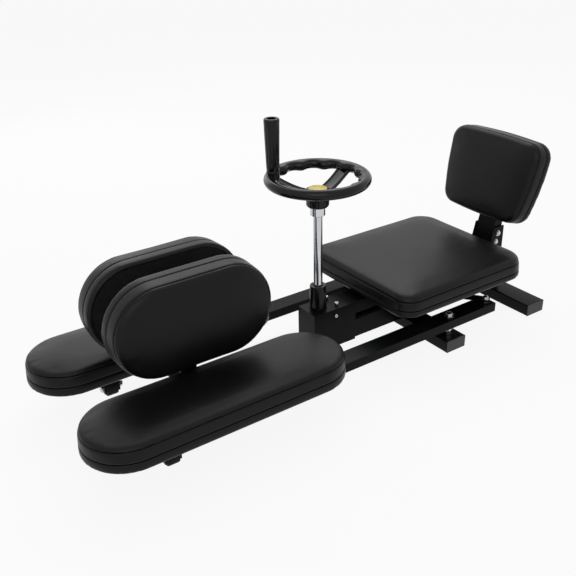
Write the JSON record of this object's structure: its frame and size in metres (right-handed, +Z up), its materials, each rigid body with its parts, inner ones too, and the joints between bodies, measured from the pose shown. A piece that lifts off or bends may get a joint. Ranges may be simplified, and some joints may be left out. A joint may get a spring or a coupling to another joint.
{
  "type": "leg stretching machine",
  "caption": "Leg stretching machine with a padded seat and backrest on a low steel frame, swinging padded leg arms, and a hand wheel on a column that drives them apart.",
  "frame": {"origin": "on the floor under the front floor bar, midway between the two leg pivots", "axes": "+Z up; -Y the way the sitter faces and the legs point; +X to the sitter's left"},
  "size_m": [0.507, 1.3467, 0.609],
  "materials": {
    "black_steel": "satin black powder coat",
    "black_leatherette": "smooth satin synthetic leather over foam, sewn in two bands",
    "backed_board": "plywood behind a matt black dust cloth",
    "chrome": "polished",
    "zinc_steel": "bright zinc plate",
    "gloss_plastic": "glossy black",
    "matte_plastic": "matt black",
    "yellow_plastic": "satin yellow",
    "roller_rubber": "matt black",
    "bronze": "machined bronze"
  },
  "bodies": {
    "frame": {"front_crossbar": "black_steel", "rear_crossbar": "black_steel", "screw_channel": "black_steel", "gearbox_housing": "black_steel", "column_socket": "gloss_plastic", "screw_front_bush": "bronze", "seat_beam": "black_steel", "front_seat_rail": "black_steel", "rear_seat_rail": "black_steel", "seat_board": "backed_board", "seat_cushion": "black_leatherette", "backrest_post": "black_steel", "backrest_board": "backed_board", "backrest_cushion": "black_leatherette", "left_housing_screw": "zinc_steel", "right_housing_screw": "zinc_steel", "side_housing_screw": "zinc_steel", "upper_backrest_bolt": "zinc_steel", "lower_backrest_bolt": "zinc_steel", "front_left_cap": "matte_plastic", "rear_left_cap": "matte_plastic", "left_pivot_spacer": "chrome", "left_pivot_bolt": "zinc_steel", "front_right_cap": "matte_plastic", "rear_right_cap": "matte_plastic", "right_pivot_spacer": "chrome", "right_pivot_bolt": "zinc_steel"},
    "left_leg": {"left_arm": "black_steel", "left_arm_cap": "matte_plastic", "left_tail_bolt": "zinc_steel", "left_leg_board": "backed_board", "left_leg_cushion": "black_leatherette", "left_upright_bracket": "black_steel", "left_upright_board": "backed_board", "left_upright_cushion": "black_leatherette", "left_roller_axle": "zinc_steel"},
    "left_link": {"left_link": "black_steel"},
    "left_roller": {"left_roller": "roller_rubber"},
    "right_leg": {"right_arm": "black_steel", "right_arm_cap": "matte_plastic", "right_tail_bolt": "zinc_steel", "right_leg_board": "backed_board", "right_leg_cushion": "black_leatherette", "right_upright_bracket": "black_steel", "right_upright_board": "backed_board", "right_upright_cushion": "black_leatherette", "right_roller_axle": "zinc_steel"},
    "right_link": {"right_link": "black_steel"},
    "right_roller": {"right_roller": "roller_rubber"},
    "carriage": {"nut_carriage": "black_steel", "lead_nut": "bronze"},
    "lead_screw": {"lead_screw": "zinc_steel", "driven_gear": "zinc_steel"},
    "hand_wheel": {"drive_gear": "zinc_steel", "column_shaft": "chrome", "column_collar": "chrome", "hand_wheel": "gloss_plastic", "hub_cap": "yellow_plastic", "crank_stud": "zinc_steel"},
    "crank_grip": {"crank_grip": "gloss_plastic"}
  },
  "joints": [
    {"name": "wheel_turn", "type": "hinge", "parent": "frame", "child": "hand_wheel", "pos_m": [0, -0.299, 0.473], "axis": [0, 0, -1], "range_deg": [0, 4320]},
    {"name": "lead_screw_spin", "type": "hinge", "parent": "frame", "child": "lead_screw", "pos_m": [0, 0, 0.066], "axis": [0, 1, 0], "range_deg": [0, 4320]},
    {"name": "carriage_slide", "type": "slide", "parent": "frame", "child": "carriage", "axis": [0, -1, 0], "range_m": [0, 0.1921]},
    {"name": "left_leg_swing", "type": "hinge", "parent": "frame", "child": "left_leg", "pos_m": [0.156, 0, 0.062], "axis": [0, 0, 1], "range_deg": [0, 95]},
    {"name": "left_link_swing", "type": "hinge", "parent": "left_leg", "child": "left_link", "pos_m": [0.156, 0.131, 0.091], "axis": [0, 0, -1], "range_deg": [0, 29.1]},
    {"name": "left_roller_spin", "type": "hinge", "parent": "left_leg", "child": "left_roller", "pos_m": [0.156, -0.797, 0.021], "axis": [0, 1, 0], "continuous": true},
    {"name": "right_leg_swing", "type": "hinge", "parent": "frame", "child": "right_leg", "pos_m": [-0.156, 0, 0.062], "axis": [0, 0, -1], "range_deg": [0, 95]},
    {"name": "right_link_swing", "type": "hinge", "parent": "right_leg", "child": "right_link", "pos_m": [-0.156, 0.131, 0.091], "axis": [0, 0, 1], "range_deg": [0, 29.1]},
    {"name": "right_roller_spin", "type": "hinge", "parent": "right_leg", "child": "right_roller", "pos_m": [-0.156, -0.797, 0.021], "axis": [0, 1, 0], "continuous": true},
    {"name": "crank_grip_spin", "type": "hinge", "parent": "hand_wheel", "child": "crank_grip", "pos_m": [-0.07219, -0.37246, 0.55], "axis": [0, 0, 1], "continuous": true}
  ],
  "couplings": [
    {"joint": "lead_screw_spin", "follows": "wheel_turn", "ratio": 1},
    {"joint": "carriage_slide", "follows": "wheel_turn", "m_per_rad": 0.0025465},
    {"joint": "left_leg_swing", "follows": "wheel_turn", "ratio": 0.021991},
    {"joint": "left_link_swing", "follows": "wheel_turn", "ratio": 0.0067361},
    {"joint": "right_leg_swing", "follows": "wheel_turn", "ratio": 0.021991},
    {"joint": "right_link_swing", "follows": "wheel_turn", "ratio": 0.0067361}
  ]
}
